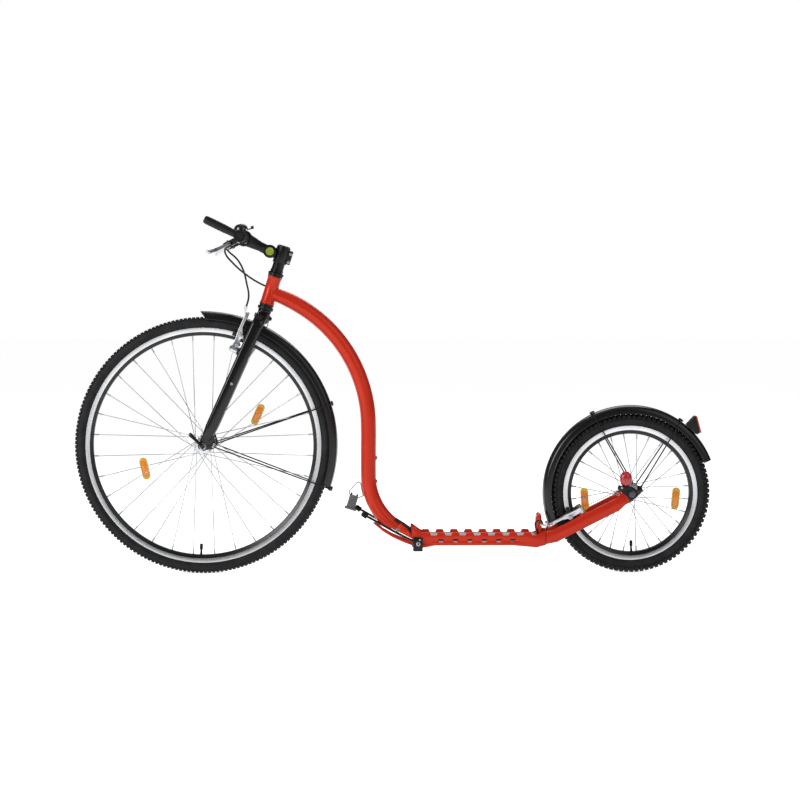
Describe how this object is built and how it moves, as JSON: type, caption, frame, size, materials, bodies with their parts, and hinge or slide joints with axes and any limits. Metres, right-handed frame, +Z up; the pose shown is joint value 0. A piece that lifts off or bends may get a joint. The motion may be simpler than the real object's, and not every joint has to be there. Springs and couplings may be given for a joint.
{
  "type": "kick bike",
  "caption": "Kick bike with a large front wheel, a bent single tube, a low toothed deck, a small rear wheel, rim brakes, mudguards and a folding stand.",
  "frame": {"origin": "on the floor, centred under the whole bike", "axes": "+X towards the rear wheel, +Y to the rider's right, +Z up"},
  "size_m": [1.7268, 0.6, 0.9605],
  "materials": {
    "frame_paint": "glossy orange-red powder coat",
    "black_paint": "satin black paint",
    "black_plastic": "smooth black plastic",
    "black_rubber": "matt black rubber",
    "tyre_rubber": "black tyre rubber with a block tread",
    "polished_alloy": "bright aluminium",
    "zinc_steel": "zinc-plated steel",
    "lime_cap": "yellow-green anodised cap",
    "red_lens": "moulded red reflector plastic",
    "grey_rubber": "ribbed grey rubber"
  },
  "bodies": {
    "frame": {"head_tube": "frame_paint", "main_tube": "frame_paint", "deck_neck": "frame_paint", "deck_rail_left": "frame_paint", "deck_rail_right": "frame_paint", "deck_plate": "black_paint", "rear_cross_member": "frame_paint", "rear_wheel_guard_hoop": "frame_paint", "rear_arm_left": "frame_paint", "rear_arm_right": "frame_paint", "headset_lower_cup": "black_paint", "headset_upper_cup": "black_paint", "rear_axle": "zinc_steel", "rear_mudguard": "black_plastic", "rear_mudguard_stay_front": "black_paint", "rear_mudguard_stay_back": "black_paint", "rear_reflector_housing": "black_plastic", "rear_reflector_lens": "red_lens", "rear_lamp_base": "black_plastic", "rear_lamp_lens": "red_lens", "bumper_and_bail": "grey_rubber", "rear_brake_cable_rear": "black_rubber"},
    "steering_assembly": {"fork_crown_and_steerer": "black_paint", "fork_leg_left": "black_paint", "fork_leg_right": "black_paint", "stem_base": "black_paint", "spacers": "black_paint", "top_cap": "black_paint", "stem_arm": "black_paint", "stem_faceplate": "black_paint", "stem_pivot_bolt": "lime_cap", "handlebar": "black_paint", "grip_left": "black_rubber", "grip_right": "black_rubber", "bar_end_left": "black_paint", "bar_end_right": "black_paint", "brake_perch_left": "black_paint", "brake_perch_right": "black_paint", "bell": "polished_alloy", "front_axle": "zinc_steel", "front_mudguard": "black_plastic", "front_mudguard_stay_upper": "black_paint", "front_mudguard_stay_lower": "black_paint", "front_brake_cable": "black_rubber", "rear_brake_cable_front": "black_rubber"},
    "front_wheel": {"front_tyre": "tyre_rubber", "front_rim": "polished_alloy", "front_hub_and_spokes": "polished_alloy"},
    "rear_wheel": {"rear_tyre": "tyre_rubber", "rear_rim": "polished_alloy", "rear_hub_and_spokes": "polished_alloy"},
    "lever_left": {"brake_lever_left": "polished_alloy"},
    "lever_right": {"brake_lever_right": "polished_alloy"},
    "front_caliper_left": {"front_brake_arm_left": "polished_alloy"},
    "front_caliper_right": {"front_brake_arm_right": "polished_alloy"},
    "rear_caliper_left": {"rear_brake_arm_left": "polished_alloy"},
    "rear_caliper_right": {"rear_brake_arm_right": "polished_alloy"},
    "stand": {"folding_stand": "black_paint"},
    "bell_striker": {"bell_thumb": "black_plastic"},
    "quick_release": {"front_quick_release_lever": "black_paint"}
  },
  "joints": [
    {"name": "steering_turn", "type": "hinge", "parent": "frame", "child": "steering_assembly", "pos_m": [-0.35801, 0, 0.6836], "axis": [0.2924, 0, 0.9563], "range_deg": [-60, 60], "deforming": ["rear_brake_cable_front"]},
    {"name": "front_wheel_spin", "type": "hinge", "parent": "steering_assembly", "child": "front_wheel", "pos_m": [-0.51541, 0, 0.348], "axis": [0, 1, 0], "continuous": true},
    {"name": "rear_wheel_spin", "type": "hinge", "parent": "frame", "child": "rear_wheel", "pos_m": [0.64259, 0, 0.2175], "axis": [0, 1, 0], "continuous": true},
    {"name": "lever_left_pull", "type": "hinge", "parent": "steering_assembly", "child": "lever_left", "pos_m": [-0.44136, -0.124, 0.89047], "axis": [-0.4384, 0, 0.8988], "range_deg": [0, 25], "stiffness_Nm_per_rad": 2, "springref_deg": -11.46},
    {"name": "lever_right_pull", "type": "hinge", "parent": "steering_assembly", "child": "lever_right", "pos_m": [-0.44136, 0.124, 0.89047], "axis": [0.4384, 0, -0.8988], "range_deg": [0, 25], "stiffness_Nm_per_rad": 2, "springref_deg": -11.46},
    {"name": "front_arm_left_close", "type": "hinge", "parent": "steering_assembly", "child": "front_caliper_left", "pos_m": [-0.43123, -0.04, 0.60734], "axis": [-0.9114, 0, 0.4115], "range_deg": [0, 1.8]},
    {"name": "front_arm_right_close", "type": "hinge", "parent": "steering_assembly", "child": "front_caliper_right", "pos_m": [-0.43123, 0.04, 0.60734], "axis": [0.9114, 0, -0.4115], "range_deg": [0, 1.8]},
    {"name": "rear_arm_left_close", "type": "hinge", "parent": "frame", "child": "rear_caliper_left", "pos_m": [0.50756, -0.04, 0.17225], "axis": [0.4478, 0, -0.8942], "range_deg": [0, 1.8]},
    {"name": "rear_arm_right_close", "type": "hinge", "parent": "frame", "child": "rear_caliper_right", "pos_m": [0.50756, 0.04, 0.17225], "axis": [-0.4478, 0, 0.8942], "range_deg": [0, 1.8]},
    {"name": "stand_fold", "type": "hinge", "parent": "frame", "child": "stand", "pos_m": [0.06459, 0, 0.084], "axis": [0, -1, 0], "range_deg": [0, 112]},
    {"name": "bell_ring", "type": "hinge", "parent": "steering_assembly", "child": "bell_striker", "pos_m": [-0.39113, -0.092, 0.9322], "axis": [-0.2079, 0, 0.9781], "range_deg": [0, 25], "stiffness_Nm_per_rad": 0.05, "springref_deg": -5.73},
    {"name": "quick_release_open", "type": "hinge", "parent": "steering_assembly", "child": "quick_release", "pos_m": [-0.51541, -0.0719, 0.348], "axis": [0.7071, 0, 0.7071], "range_deg": [0, 170]}
  ],
  "couplings": [
    {"joint": "front_arm_left_close", "follows": "lever_left_pull", "ratio": 0.0715},
    {"joint": "front_arm_right_close", "follows": "lever_left_pull", "ratio": 0.0715},
    {"joint": "rear_arm_left_close", "follows": "lever_right_pull", "ratio": 0.0715},
    {"joint": "rear_arm_right_close", "follows": "lever_right_pull", "ratio": 0.0715}
  ]
}
